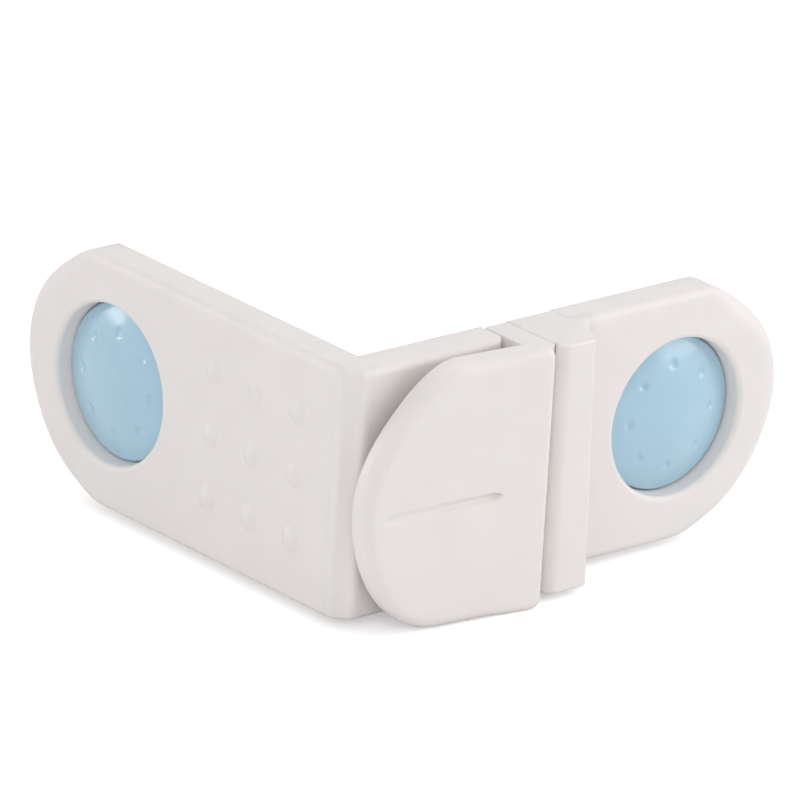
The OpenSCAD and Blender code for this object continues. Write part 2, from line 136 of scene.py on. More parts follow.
class RecessSizes(bpy.types.PropertyGroup):
    """Sizes of the recesses and the caps"""
    cap_r: length("Cap radius", "Radius of a cap", 12.95, 10, 14)
    gap: length("Gap", "Gap around a cap", 0.25, 0.1, 1)
    draft: length("Draft", "Draft of the recess wall", 0.1, 0, 0.6)
    floor: length("Floor", "Thickness of the recess floor", 2.0, 1, 3)
    rim_w: length("Rim width", "Width of the soft slope around a recess", 0.9, 0.5, 3)
    rim_d: length("Rim depth", "Depth of the soft slope around a recess", 0.55, 0.2, 1.5)
    screw_r: length("Screw hole", "Radius of the screw hole", 2.1, 1.5, 3)
    boss_r: length("Boss", "Outer radius of the snap boss", 10.0, 6, 11)
    boss_h: length("Boss height", "Height of the snap boss", 0.9, 0.4, 1.2)
    boss_t: length("Boss wall", "Wall of the snap boss", 1.0, 0.6, 1.5)
    sink: length("Cap depth", "Depth of a cap's edge below the face", 3.0, 2, 4)
    rise: length("Dome rise", "Rise of a cap's dome", 2.3, 0.5, 3)
    cap_edge: length("Cap edge", "Rounding of a cap's edge", 0.6, 0.2, 1)
    wall: length("Cap wall", "Wall of a cap", 1.0, 0.6, 1.5)
    snap: length("Snap gap", "Clearance under a cap and around the boss", 0.1, 0.02, 0.3)
    dimple_r: length("Dimple radius", "Radius of a grip dimple in a cap", 1.0, 0.3, 2)
    dimple_d: length("Dimple depth", "Depth of a grip dimple", 0.34, 0.05, 0.8)
    dimple_at: length("Dimple ring", "Radius of the ring of grip dimples", 8.6, 5, 11)


class LeverSizes(bpy.types.PropertyGroup):
    """Sizes of the release lever"""
    leg_left: length("Leg left", "Inner corner to the leg's left face", 25.3, 24, 28)
    leg_w: length("Leg width", "Width of the leg", 4.7, 3, 6)
    leg_back: length("Leg back", "Depth of the leg's rear face", 0.5, 0.2, 1)
    leg_round: length("Leg rounding", "Rounding of the leg's upright edges", 0.4, 0.1, 1)
    leg_front: length("Leg front", "Depth of the leg's front face", 12.4, 11, 13)
    tab_w: length("Tab width", "Width of the press tab", 34.95, 30, 36)
    tab_h: length("Tab height", "Height of the press tab", 44.0, 40, 50)
    tab_t: length("Tab thickness", "Thickness of the press tab", 4.3, 3, 5)
    tab_front: length("Tab front", "Depth of the tab's front face at its right edge", 15.74, 15, 17)
    tab_round: length("Tab rounding", "Rounding of the tab's front edge at its upright side", 1.5, 0.5, 2)
    tab_soft_w: length("Tab softness", "Width of the softer rounding along the curved side", 2.1, 1, 3)
    tab_soft_d: length("Tab soft depth", "Depth of the softer rounding along the curved side", 2.8, 1, 3)
    tab_back: length("Tab back edge", "Rounding of the tab's back edge", 0.4, 0.1, 1)
    tab_corner: length("Tab corner", "Corner radius of the tab's upright edge", 1.8, 1.6, 3)
    tab_drop: length("Tab drop", "How far the tab hangs below the arms", 1.2, 0, 2)
    tab_tilt: angle("Tab tilt", "Tilt of the tab towards the strap", 5.7, 3, 7)
    tab_step: length("Tab step", "Tab's right edge inside the leg's right face", 2.15, 1, 4)
    groove_l: length("Groove length", "Length of the grip groove", 22.85, 10, 26)
    groove_w: length("Groove width", "Width of the grip groove", 1.6, 0.5, 3)
    groove_d: length("Groove depth", "Depth of the grip groove", 0.85, 0.2, 1)
    groove_z: length("Groove height", "Height of the groove's left end", 19.0, 10, 30)
    groove_slope: angle("Groove slope", "Slope of the grip groove", 1.9, 0, 5)
    groove_start: length("Groove start", "Tab's left edge to the groove", 3.1, 0, 5)
    pivot_in: length("Pivot in", "Leg's left face to the pivot axis", 1.6, 1, 3)
    pivot_deep: length("Pivot depth", "Leg's rear face to the pivot axis", 1.8, 1, 3)
    lug_r: length("Lug radius", "Radius of a pivot lug", 1.7, 1, 2)
    lug_h: length("Lug height", "Height of a pivot lug", 6.0, 3, 8)
    lug_pitch: length("Lug pitch", "Distance between the two lugs", 22.0, 14, 26)
    notch: length("Notch gap", "Clearance around a lug in its notch", 0.35, 0.2, 0.6)
    pin_r: length("Pin bore", "Radius of the pin's bore", 0.96, 0.8, 1.2)
    pin_from: length("Pin foot", "Height of the pin's lower end", 4.0, 3, 5)
    tooth_h: length("Tooth height", "Height of the latch tooth", 18.0, 10, 24)
    tooth_reach: length("Tooth reach", "Reach of the tooth past the leg", 0.65, 0.4, 0.7)
    tooth_back: length("Tooth back", "Depth of the tooth's holding face", 9.6, 9, 10)
    tooth_crest: length("Tooth crest", "Length of the tooth's crest", 0.8, 0.4, 1)
    tooth_lead: length("Tooth lead", "Length of the tooth's slope", 1.6, 1, 2)
    tooth_gap: length("Tooth gap", "Clearance around the tooth in its pocket", 0.3, 0.2, 0.5)


class BlockSizes(bpy.types.PropertyGroup):
    """Sizes of the catch block"""
    left: length("Block left", "Inner corner to the block's left face", 30.12, 29, 32)
    width: length("Block width", "Width of the block's front face at its top", 6.7, 5, 8)
    flare: length("Block flare", "How much wider the block's front face is at its foot", 1.3, 0, 2)
    foot: length("Block foot", "Width of the block where it meets the pad", 12.2, 9, 14)
    tuck: length("Block tuck", "How far inside its foot the block ends, within the pad", 2.6, 1, 4)
    front: length("Block front", "Depth of the block's front face", 14.1, 13, 15)
    round: length("Block rounding", "Rounding of the block's upright edge at the slope", 1.0, 0.2, 2)
    round_left: length("Left rounding", "Rounding of the block's upright edge at the tab", 2.1, 0.5, 3)
    cove: length("Block cove", "Length of the soft cove where the slope meets the pad", 1.6, 0.5, 3)
    brow: length("Block brow", "Rounding of the block's top and bottom edges", 0.45, 0.1, 1)
    core_w: length("Block core", "Width of the cored pockets in the block", 3.5, 2, 4)
    skin: length("Block skin", "Skin left in front of the block's pockets", 2.2, 1, 3)


class SpringSizes(bpy.types.PropertyGroup):
    """Sizes of the return spring and the hinge web"""
    along: length("Spring place", "Inner corner to the spring's axis", 13.0, 10, 17)
    coil_r: length("Coil radius", "Radius at the middle of the wire", 1.6, 1, 2)
    wire_r: length("Wire radius", "Radius of the wire", 0.26, 0.2, 0.3)
    turns: bpy.props.IntProperty(name="Turns", description="Turns of the spring", default=5, min=3, max=6)
    seat_d: length("Seat depth", "Depth of the spring's seats", 1.1, 0.5, 1.5)
    seat_gap: length("Seat gap", "Clearance around the spring in its seats", 0.58, 0.2, 0.8)
    web_sink: length("Web depth", "Depth of the web below the sharp outer corner", 2.17, 1.5, 3)
    web_t: length("Web thickness", "Thickness of the web", 0.8, 0.4, 1)
    web_relief: length("Web relief", "Gap between the web and the mitre faces behind it", 0.3, 0.1, 0.6)
    web_half: length("Web half width", "Half the width of the web across the corner", 1.55, 1, 2)
    soft_half: length("Flute half width", "Half the width of the soft flute with its two edges", 3.0, 2, 4)
    soft_sink: length("Flute depth", "Depth of the flute below the sharp outer corner", 2.12, 1, 3)
    soft_edge: length("Flute softness", "Softness of the flute's two edges", 0.45, 0.1, 0.8)
    soft_round: length("Flute rounding", "Rounding of the flute at the top and bottom", 1.1, 0.5, 1.4)


class FoamSizes(bpy.types.PropertyGroup):
    """Sizes of the adhesive foam pads"""
    thick: length("Foam thickness", "Thickness of a pad", 1.0, 0.6, 1.5)
    inset: length("Foam inset", "Pad inside the outline of its plate", 3.0, 2, 5)
    tail: length("Foam tail", "Straight tail from the round end's centre", 16.0, 10, 20)
    hole_r: length("Foam hole", "Radius of the hole for the screw", 3.0, 2.5, 4)
    bulge: length("Foam bulge", "How far the sides draw in at the faces", 0.12, 0, 0.3)


class Finishes(bpy.types.PropertyGroup):
    """Colours of the materials and the backdrop"""
    white: colour("White", "Moulded white plastic", (0.825, 0.785, 0.768))
    blue: colour("Blue", "Gloss blue plastic of the caps", (0.40, 0.61, 0.75))
    steel: colour("Steel", "Pin and spring", (0.55, 0.56, 0.58))
    foam: colour("Foam", "Adhesive foam", (0.72, 0.72, 0.70))
    liner: colour("Liner", "Release liner", (0.80, 0.74, 0.45))
    floor: colour("Floor", "Floor and backdrop", (0.95, 0.95, 0.95))


def sizes(group):
    """A group's lengths in millimetres; its angles and counts as they are."""
    found = getattr(bpy.context.scene, "lock_" + group)
    values = {}
    for prop in found.bl_rna.properties:
        if prop.identifier in ("rna_type", "name"):
            continue
        value = getattr(found, prop.identifier)
        values[prop.identifier] = value / MM if prop.unit == "LENGTH" else value
    return SimpleNamespace(**values)


def on_strap(p):
    """From a plate's own frame (along, forwards, up) in millimetres, on the strap's side."""
    return Vector((p[0] - BACK, -p[1] - BACK, p[2])) * MM


def on_long_arm(p):
    """The same on the long arm, mirrored in the corner's diagonal."""
    return Vector((-p[1] - BACK, p[0] - BACK, p[2])) * MM


def smooth(t):
    """An eased step from 0 to 1."""
    t = min(max(t, 0.0), 1.0)
    return t * t * (3 - 2 * t)


def between(x, table):
    """Straight lines between the points of a table of (x, y)."""
    for (xa, ya), (xb, yb) in zip(table, table[1:]):
        if x <= xb:
            return ya + (yb - ya) * max(x - xa, 0.0) / (xb - xa)
    return table[-1][1]


def circle(centre, r, d, count, stretch=1.0):
    """A loop around a centre (along, up) at a depth."""
    turn = [2 * math.pi * i / count for i in range(count)]
    return [(centre[0] + r * math.cos(a), d, centre[1] + stretch * r * math.sin(a)) for a in turn]


def arc(centre, r, start, sweep, steps):
    """Points on an arc around a centre; its angles are in degrees."""
    turn = [math.radians(start + sweep * i / steps) for i in range(steps + 1)]
    return [(centre[0] + r * math.cos(a), centre[1] + r * math.sin(a)) for a in turn]


def drawn_in(points, by):
    """A counter-clockwise outline drawn in by a distance, mitred at its corners."""
    made = []
    for i, (u, z) in enumerate(points):
        a, b = points[i - 1], points[(i + 1) % len(points)]
        before = Vector((z - a[1], a[0] - u)).normalized()
        after = Vector((b[1] - z, u - b[0])).normalized()
        way = (before + after) / (1 + before.dot(after))
        inset = by[i] if isinstance(by, list) else by
        made.append((u - way[0] * inset, z - way[1] * inset))
    return made


class Skin:
    """A closed mesh built from loops of points in a plate's own frame."""

    def __init__(self):
        self.mesh = bmesh.new()

    def loop(self, points):
        """New vertices at the points."""
        return [self.mesh.verts.new(p) for p in points]

    def join(self, a, b, skip=()):
        """Quads between two loops of as many points."""
        for i in range(len(a)):
            if i not in skip:
                j = (i + 1) % len(a)
                self.mesh.faces.new((a[i], a[j], b[j], b[i]))

    def chain(self, rows):
        """Joins loops of points in turn and returns the first and the last."""
        loops = [self.loop(row) for row in rows]
        for a, b in zip(loops, loops[1:]):
            self.join(a, b)
        return loops[0], loops[-1]

    def point_to(self, loop, tip):
        """Closes a loop with triangles to a tip."""
        tip = self.mesh.verts.new(tip)
        for i, v in enumerate(loop):
            self.mesh.faces.new((v, loop[(i + 1) % len(loop)], tip))

    def revolve(self, centre, profile, count=96, stretch=1.0):
        """Loops around a centre for each (radius, depth) of a profile; a last radius of 0 closes it."""
        rows = [circle(centre, r, d, count, stretch) for r, d in profile if r > 0]
        first, last = self.chain(rows)
        if profile[-1][0] == 0:
            self.point_to(last, (centre[0], profile[-1][1], centre[1]))
        return first, last

    def cap(self, loop):
        """Closes a loop with one face."""
        self.mesh.faces.new(loop)

    def fill(self, loops):
        """Fills a flat face between its outer loop and the loops of its holes."""
        edges = []
        for loop in loops:
            for i, v in enumerate(loop):
                w = loop[(i + 1) % len(loop)]
                edges.append(self.mesh.edges.get((v, w)) or self.mesh.edges.new((v, w)))
        bmesh.ops.triangle_fill(self.mesh, use_beauty=True, use_dissolve=False, edges=edges)

    def piece(self, name, place, slot, body, nodes=(), crease=38):
        """Places the mesh in the frame as a finished piece that rides on a body."""
        for v in self.mesh.verts:
            v.co = place(v.co)
        bmesh.ops.remove_doubles(self.mesh, verts=self.mesh.verts, dist=MM * 0.0005)
        bmesh.ops.recalc_face_normals(self.mesh, faces=self.mesh.faces)
        data = bpy.data.meshes.new(name)
        self.mesh.to_mesh(data)
        self.mesh.free()
        data.shade_smooth()
        data.set_sharp_from_angle(angle=math.radians(crease))
        obj = bpy.data.objects.new(name, data)
        bpy.context.scene.collection.objects.link(obj)
        data.materials.append(finish_material(slot))
        if body:
            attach(obj, body)
        if nodes:
            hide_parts(*nodes)
        return obj


# Plates

def rounding(steps=10):
    """(share of the width, share of the depth) along a front rounding, from the side to the face."""
    turn = [math.pi / 2 * i / steps for i in range(steps + 1)]
    return [(1 - math.cos(a), 1 - math.sin(a)) for a in turn]


ROOT = math.sqrt(0.5)
CORNER = PLATE / ROOT          # inner corner to the sharp outer corner, along the diagonal
MITRE_PLAY = 0.004             # each mitre face stands this far from the diagonal
END_STEP = 2.6                 # height of the first row of points above and below a square end


def corner_profile():
    """The plate's end at the corner: along against depth, past the mitre, the web's step and the flute."""
    web = sizes("spring")
    step = CORNER - web.web_sink - web.web_t - web.web_relief
    foot = (ROOT * (step + MITRE_PLAY), ROOT * (MITRE_PLAY - step))
    shelf = (ROOT * (step + web.web_half), ROOT * (web.web_half - step))
    return [(0.0, MITRE_PLAY / ROOT), foot, shelf, (PLATE, (web.soft_half - 0.1) / ROOT - PLATE)]


def straight_run(a, b, step):
    """Points from a to b, both left out, about a step apart."""
    count = max(1, round(abs(b - a) / step))
    return [a + (b - a) * i / count for i in range(1, count)]


# How far a round end lies inside its circle, by the angle from its tip
END_FALL = ((-90, 1.5), (-75, 1.25), (-65, 1.15), (-50, 1.2), (-35, 1.25), (-20, 1.05), (-10, 0.7),
            (0, 0.35), (10, 0.1), (20, 0.0), (32, 0.15), (42, 0.65), (52, 0.95), (62, 0.95), (74, 0.62))
END_LOW, END_HIGH = -90.0, 73.7


def round_end(p, reach):
    """(along, up, share of softness) around a round end, from its foot to its top."""
    low, high, steps = END_LOW, END_HIGH, 52
    made = []
    for i in range(steps + 1):
        turn = low + (high - low) * i / steps
        near = [between(turn + shift, END_FALL) for shift in (-6, -3, 0, 3, 6)]
        r = p.end_r - sum(near) / len(near)
        if i in (0, steps):
            r = MIDDLE / abs(math.sin(math.radians(turn)))
        a = math.radians(turn)
        soft = smooth((turn - low) / 26) * smooth((high - turn) / 24)
        made.append((reach + r * math.cos(a), MIDDLE + r * math.sin(a), soft))
    return made


def plate_skin(skin, p, outline, mitred, front_holes, back_holes):
    """A plate from its outline of (along, up, softness): side, roundings, front and back faces.
    The last mitred points of the outline, and its first, lie on the corner's mitre."""
    count = len(outline)
    flat = [(u, z) for u, z, _ in outline]
    wide = [p.edge_round + (p.soft_w - p.edge_round) * s for _, _, s in outline]
    deep = [p.edge_round + (p.soft_d - p.edge_round) * s for _, _, s in outline]
    profile = corner_profile() if mitred else None
    corner = {0, *range(count - mitred, count)} if mitred else set()
    way = drawn_in(flat, 1.0)
    rows = []

    def row(insets, depths, at_mitre, slip=0.0):
        made = []
        for i, (u, z) in enumerate(flat):
            nu, nz = way[i][0] - u, way[i][1] - z
            if i in corner:
                side = between(at_mitre, profile) + slip
                rise = insets[i] * (1 if i == 0 else -1) if i in (0, count - mitred) else 0.0
                made.append((side, at_mitre, z + rise))
            else:
                made.append((u + nu * insets[i], depths[i], z + nz * insets[i]))
        return made

    zero = [0.0] * count
    cut = p.back_break
    rows.append(row([cut] * count, zero, 0.0, cut))
    rows.append(row([cut * 0.3] * count, [cut * 0.3] * count, cut * 0.3, cut * 0.3))
    rows.append(row(zero, [cut] * count, cut))
    foot = profile[1][0] if mitred else PLATE * 0.6
    for share in (0.5, 1.0):
        rows.append(row(zero, [cut + (PLATE - d - cut) * share * 0.9 for d in deep], foot * share))
    for w, d in rounding():
        depths = [PLATE - x * d for x in deep]
        rows.append(row([x * w for x in wide], depths, PLATE - p.edge_round * d))
    rows.append(row([x + 0.3 for x in wide], [PLATE] * count, PLATE, 0.3))
    first, last = skin.chain(rows)
    skin.fill([last] + front_holes)
    skin.fill([first] + back_holes)


def recess(skin, reach):
    """A recess with its rim, wall, boss and screw hole; returns its loops in the front and the back."""
    r = sizes("recess")
    wall = r.cap_r + r.gap
    lip = wall + r.draft
    base = PLATE - r.rim_d
    slope = [(lip + r.rim_w * s, PLATE - r.rim_d * (1 - s) ** 1.9) for s in
             (1.0, 0.9, 0.8, 0.7, 0.6, 0.5, 0.4, 0.3, 0.22, 0.15)]
    profile = [(lip + r.rim_w + 0.3, PLATE)] + slope
    profile += [(lip + 0.14, base + 0.055), (lip + 0.06, base - 0.03), (lip + 0.01, base - 0.14),
                (lip, base - 0.3)]
    profile += [(wall + 0.02, r.floor + 0.2), (wall - 0.05, r.floor + 0.07), (wall - 0.2, r.floor)]
    inside, crest, soft = r.boss_r - r.boss_t, r.floor + r.boss_h, 0.15
    profile += [(r.boss_r, r.floor), (r.boss_r, crest - soft), (r.boss_r - soft, crest),
                (inside + soft, crest), (inside, crest - soft), (inside, r.floor)]
    profile += [(r.screw_r + 0.2, r.floor), (r.screw_r, r.floor - 0.2), (r.screw_r, 0.0)]
    return skin.revolve((reach, MIDDLE), profile)


def grip_bump(skin, u, z, p):
    """A soft round bump, a little taller than wide; returns its loop in the front."""
    shares = (1.0, 0.9, 0.8, 0.7, 0.6, 0.5, 0.4, 0.3, 0.2, 0.1, 0)
    profile = [(p.bump_r + 0.2, PLATE)]
    profile += [(p.bump_r * s, PLATE + p.bump_h * (1 - s * s) ** 1.1) for s in shares]
    return skin.revolve((u, z), profile, 32, 1.12)[0]


def pocket(skin, r, u0, u1, z0, z1, deep, at=0.0):
    """A blind pocket in the back with its corners rounded to r; returns its loop in the back."""
    def rectangle(inset, d):
        made = []
        for u, z, start in ((u1, z0, -90), (u1, z1, 0), (u0, z1, 90), (u0, z0, 180)):
            centre = (u + (r + inset) * (-1 if u == u1 else 1), z + (r + inset) * (-1 if z == z1 else 1))
            made += [(x, d, y) for x, y in arc(centre, r, start, 90, 3)]
        return made

    first, last = skin.chain([rectangle(-0.1, at), rectangle(0, at + 0.1), rectangle(0.04, deep - 0.3),
                              rectangle(0.3, deep)])
    skin.cap(last)
    return first


def cored(skin, start, end, deep, most, p, at=0.0):
    """A field of pockets between two places along the plate; returns their loops."""
    tall = TOP - 2 * p.core_margin
    columns = math.ceil((end - start + p.rib) / (most + p.rib) - 1e-6)
    rows = math.ceil((tall + p.rib) / (most + p.rib) - 1e-6)
    w = (end - start + p.rib) / columns - p.rib
    h = (tall + p.rib) / rows - p.rib
    loops = []
    for c in range(columns):
        for r in range(rows):
            u, z = start + c * (w + p.rib), p.core_margin + r * (h + p.rib)
            loops.append(pocket(skin, p.core_round, u, u + w, z, z + h, deep, at))
    return loops


def mitred_outline(far):
    """A plate's outline from the corner: bottom edge, the far end's points, top edge, mitre."""
    start = 1.4
    bottom = [(u, 0.0, 0.0) for u in [start] + straight_run(start, far[0][0], 5)]
    top = [(u, TOP, 0.0) for u in straight_run(far[-1][0], start, 5) + [start]]
    down = straight_run(TOP - END_STEP, END_STEP, 4)
    mitre = [(-PLATE, z, 0.0) for z in [TOP, TOP - END_STEP] + down + [END_STEP]]
    return [(-PLATE, 0.0, 0.0)] + bottom + far + top + mitre, len(mitre)


class LOCK_OT_long_arm(bpy.types.Operator):
    """Builds the long arm with its bumps, recess and cored back"""
    bl_idname = "lock.long_arm"
    bl_label = "Long arm"

    def execute(self, context):
        p = sizes("plates")
        skin = Skin()
        front, back = recess(skin, p.long_reach)
        bumps = [grip_bump(skin, p.bump_start + c * p.bump_u, MIDDLE + r * p.bump_z, p)
                 for c in range(3) for r in (-1, 0, 1)]
        cores = cored(skin, p.core_margin, p.core_end, p.core_depth, p.core_w, p)
        outline, mitred = mitred_outline(round_end(p, p.long_reach))
        plate_skin(skin, p, outline, mitred, [front] + bumps, [back] + cores)
        skin.piece("long_arm_moulding", on_long_arm, "white_plastic", "long_arm", ["long_arm"])
        return {"FINISHED"}


class LOCK_OT_strap(bpy.types.Operator):
    """Builds the strap with its lugs, spring seat and cored back"""
    bl_idname = "lock.strap"
    bl_label = "Strap"

    def execute(self, context):
        p, s, lever = sizes("plates"), sizes("spring"), sizes("lever")
        skin = Skin()
        seat_r = s.coil_r + s.wire_r + s.seat_gap
        seat = [(seat_r + 0.5, PLATE), (seat_r + 0.2, PLATE), (seat_r + 0.06, PLATE - 0.06),
                (seat_r, PLATE - 0.2), (seat_r, PLATE - s.seat_d + 0.15), (seat_r - 0.15, PLATE - s.seat_d),
                (0, PLATE - s.seat_d)]
        hole = skin.revolve((s.along, MIDDLE), seat, 48)[0]
        cores = cored(skin, p.core_margin, p.strap_end - p.core_margin, p.core_depth, p.core_w, p)
        up = straight_run(END_STEP, TOP - END_STEP, 4)
        side = [(p.strap_end, z, 0.0) for z in [0.0, END_STEP] + up + [TOP - END_STEP, TOP]]
        outline, mitred = mitred_outline(side)
        plate_skin(skin, p, outline, mitred, [hole], cores)
        for k in (-1, 1):
            self.lug(skin, MIDDLE + k * lever.lug_pitch / 2, p, lever)
        skin.piece("strap_moulding", on_strap, "white_plastic", "strap", ["strap"])
        return {"FINISHED"}

    def lug(self, skin, z, p, lever):
        """A pivot lug that stands out of the strap's end face."""
        at = (lever.leg_left + lever.pivot_in, lever.leg_back + lever.pivot_deep)
        root = p.strap_end - 1.2
        half, edge = lever.lug_h / 2, 0.2
        rows = []
        for level, inset in ((-half, edge), (-half + edge, 0), (half - edge, 0), (half, edge)):
            r = lever.lug_r - inset
            plan = arc(at, r, 90, -180, 16) + [(root, at[1] - r), (root, at[1] + r)]
            rows.append([(u, d, z + level) for u, d in plan])
        first, last = skin.chain(rows)
        skin.cap(first)
        skin.cap(last)


# Release lever

def curve_point(shares, t):
    """A point of a cubic curve from its four control points."""
    weights = ((1 - t) ** 3, 3 * t * (1 - t) ** 2, 3 * t * t * (1 - t), t ** 3)
    return [sum(w * s[k] for w, s in zip(weights, shares)) for k in (0, 1)]


# The tab's curved side from its top to its foot: three curves in shares of its width and height
TAB_BROW = ((0.522, 1), (0.41, 1), (0.298, 0.9205), (0.232, 0.863))
TAB_CHEEK = ((0.232, 0.863), (0.0965, 0.7445), (0, 0.63), (0, 0.47))
TAB_LOW = ((0, 0.47), (0, 0.27), (0.155, 0), (0.4366, 0))


def tab_outline(lever):
    """The tab's outline seen from the front: (from its left edge, from its bottom)."""
    r = lever.tab_corner
    low = lever.tab_w * TAB_LOW[-1][0]
    points = [(x, 0.0) for x in straight_run(low, lever.tab_w - r, 3)]
    points += arc((lever.tab_w - r, r), r, -90, 90, 8)
    points += [(lever.tab_w, y) for y in straight_run(r, lever.tab_h - r, 4)]
    points += arc((lever.tab_w - r, lever.tab_h - r), r, 0, 90, 8)
    points += [(x, lever.tab_h) for x in straight_run(lever.tab_w - r, lever.tab_w * TAB_BROW[0][0], 3)]
    for shares, steps in ((TAB_BROW, 20), (TAB_CHEEK, 24), (TAB_LOW, 30)):
        for i in range(steps):
            x, z = curve_point(shares, i / steps)
            points.append((x * lever.tab_w, z * lever.tab_h))
    points.append((low, 0.0))
    return points


def tab_place(lever):
    """Takes (from the left edge, behind the front face, from the bottom) to a plate's own frame."""
    right = lever.leg_left + lever.leg_w - lever.tab_step
    c, s = math.cos(lever.tab_tilt), math.sin(lever.tab_tilt)

    def place(x, y, z):
        along = x - lever.tab_w
        return (right + along * c + y * s, lever.tab_front + along * s - y * c, z - lever.tab_drop)
    return place


# The groove's loops from the face to its valley: share of the width, share of the depth, extra length
GROOVE_FORM = ((1.6, 0, 0.5), (1.2, 0, 0.12), (1.08, 0.03, 0.03), (0.96, 0.12, -0.04), (0.82, 0.3, -0.13),
               (0.66, 0.54, -0.23), (0.48, 0.77, -0.34), (0.25, 0.94, -0.46), (0, 1, -0.56))


def groove_loops(lever):
    """Loops of the grip groove, which is pointed at both ends and narrows and deepens to the right."""
    steps = 24
    tilt = math.tan(lever.groove_slope)
    made = []
    for wide, deep, longer in GROOVE_FORM:
        half = lever.groove_w / 2 * wide
        loop = []
        for side in (-1, 1):
            for i in range(steps + 1):
                ended = i in (0, steps)
                if side > 0 and ended:
                    continue
                t = i / steps if side < 0 else 1 - i / steps
                pinch = min(1.0, math.sqrt(max(0.0, min(t, 1 - t) * steps / 1.6))) * (1.25 - 0.35 * t)
                fade = 0.45 + 0.55 * smooth(t * 1.2)
                x = lever.groove_start - longer + (lever.groove_l + 2 * longer) * t
                z = lever.groove_z + lever.tab_drop + (x - lever.groove_start) * tilt
                z += 0 if ended else side * half * pinch
                loop.append((x, lever.groove_d * deep * fade, z))
        made.append(loop)
    return made


class LOCK_OT_release_lever(bpy.types.Operator):
    """Builds the release lever: press tab, leg, notches and tooth"""
    bl_idname = "lock.release_lever"
    bl_label = "Release lever"

    def execute(self, context):
        lever = sizes("lever")
        skin = Skin()
        self.tab(skin, lever)
        self.leg(skin, lever)
        skin.piece("release_lever_moulding", on_strap, "white_plastic", "release_lever", ["release_lever"])
        return {"FINISHED"}

    def tab(self, skin, lever):
        """The press tab with its groove in front and the spring's seat behind."""
        place = tab_place(lever)
        outline = tab_outline(lever)
        thick, edge = lever.tab_t, lever.tab_back
        levels = [(thick, edge + 0.3), (thick, edge), (thick - edge * 0.3, edge * 0.3), (thick - edge, 0),
                  (thick * 0.8, 0)]
        rows = [[place(x, y, z) for x, z in drawn_in(outline, inset)] for y, inset in levels]
        soft = [smooth((lever.tab_w - 3 - x) / 9) for x, z in outline]
        wide = [lever.tab_round + (lever.tab_soft_w - lever.tab_round) * s for s in soft]
        deep = [lever.tab_round + (lever.tab_soft_d - lever.tab_round) * s for s in soft]
        for w, d in rounding(12) + [(1.12, 0.0)]:
            drawn = drawn_in(outline, [x * w for x in wide])
            rows.append([place(x, y * d, z) for (x, z), y in zip(drawn, deep)])
        first, last = skin.chain(rows)
        # The innermost loop has no width, so its two sides merge and the valley needs no face of its own.
        groove = skin.chain([[place(*q) for q in loop] for loop in groove_loops(lever)])[0]
        skin.fill([last, groove])
        s = sizes("spring")
        seat_r = s.coil_r + s.wire_r + s.seat_gap
        right = lever.leg_left + lever.leg_w - lever.tab_step
        x = lever.tab_w - (right - s.along) / math.cos(lever.tab_tilt) - thick * math.sin(lever.tab_tilt)
        rows = []
        for r, y in ((seat_r + 0.3, 0), (seat_r + 0.1, 0), (seat_r, 0.15), (seat_r, s.seat_d - 0.1),
                     (seat_r - 0.1, s.seat_d)):
            ring = circle((x, MIDDLE + lever.tab_drop), r, thick - y, 48)
            rows.append([place(a, b, c) for a, b, c in ring])
        hole, floor = skin.chain(rows)
        skin.cap(floor)
        skin.fill([first, hole])

    def leg(self, skin, lever):
        """The leg from its foot to its top, with the notches, the tooth and the pin's bore."""
        left, right = lever.leg_left, lever.leg_left + lever.leg_w
        back, front = lever.leg_back, lever.leg_front
        edge = lever.leg_round
        pivot = (left + lever.pivot_in, back + lever.pivot_deep)
        inner = pivot[0] + lever.lug_r + lever.notch
        deep = pivot[1] + lever.lug_r + lever.notch

        def plan(z, inset, notched, toothed):
            def bend(u, d, start):
                centre = (u + edge * (1 if u == left else -1), d + edge * (1 if d == back else -1))
                return arc(centre, edge - inset, start, 90, 4)

            points = bend(right, back, -90)
            crest = right + (lever.tooth_reach if toothed else -inset)
            ahead = lever.tooth_back + lever.tooth_crest
            points += [(right - inset, lever.tooth_back), (crest, lever.tooth_back), (crest, ahead),
                       (right - inset, ahead + lever.tooth_lead)]
            points += bend(right, front, 0)
            points += bend(left, front, 90)
            points += [(left + inset, deep)]
            if notched:
                points += [(inner, deep)] * 5 + [(inner, back + inset)]
            else:
                points += bend(left, back, 180) + [(inner, back + inset)]
            return [(u, d, z) for u, d in points]

        rows = [plan(0, 0.3, False, False), plan(0.09, 0.09, False, False), plan(0.3, 0, False, False)]
        marks = [(MIDDLE + k * lever.tooth_h / 2, "tooth") for k in (-1, 1)]
        for k in (-1, 1):
            z = MIDDLE + k * lever.lug_pitch / 2
            marks += [(z - lever.lug_h / 2 - lever.notch, "notch")]
            marks += [(z + lever.lug_h / 2 + lever.notch, "notch")]
        notched = toothed = False
        for z, kind in sorted(marks):
            rows.append(plan(z, 0, notched, toothed))
            if kind == "notch":
                notched = not notched
            else:
                toothed = not toothed
            rows.append(plan(z, 0, notched, toothed))
        rows += [plan(TOP - 0.3, 0, False, False), plan(TOP - 0.09, 0.09, False, False),
                 plan(TOP, 0.3, False, False)]
        first, last = skin.chain(rows)
        skin.cap(last)
        bore = []
        for z, r in ((0, lever.pin_r + 0.12), (0.12, lever.pin_r), (lever.pin_from - 0.1, lever.pin_r)):
            turn = [2 * math.pi * i / 24 for i in range(24)]
            bore.append([(pivot[0] + r * math.cos(a), pivot[1] + r * math.sin(a), z) for a in turn])
        mouth, end = skin.chain(bore)
        skin.cap(end)
        skin.fill([first, mouth])


# Catch pad

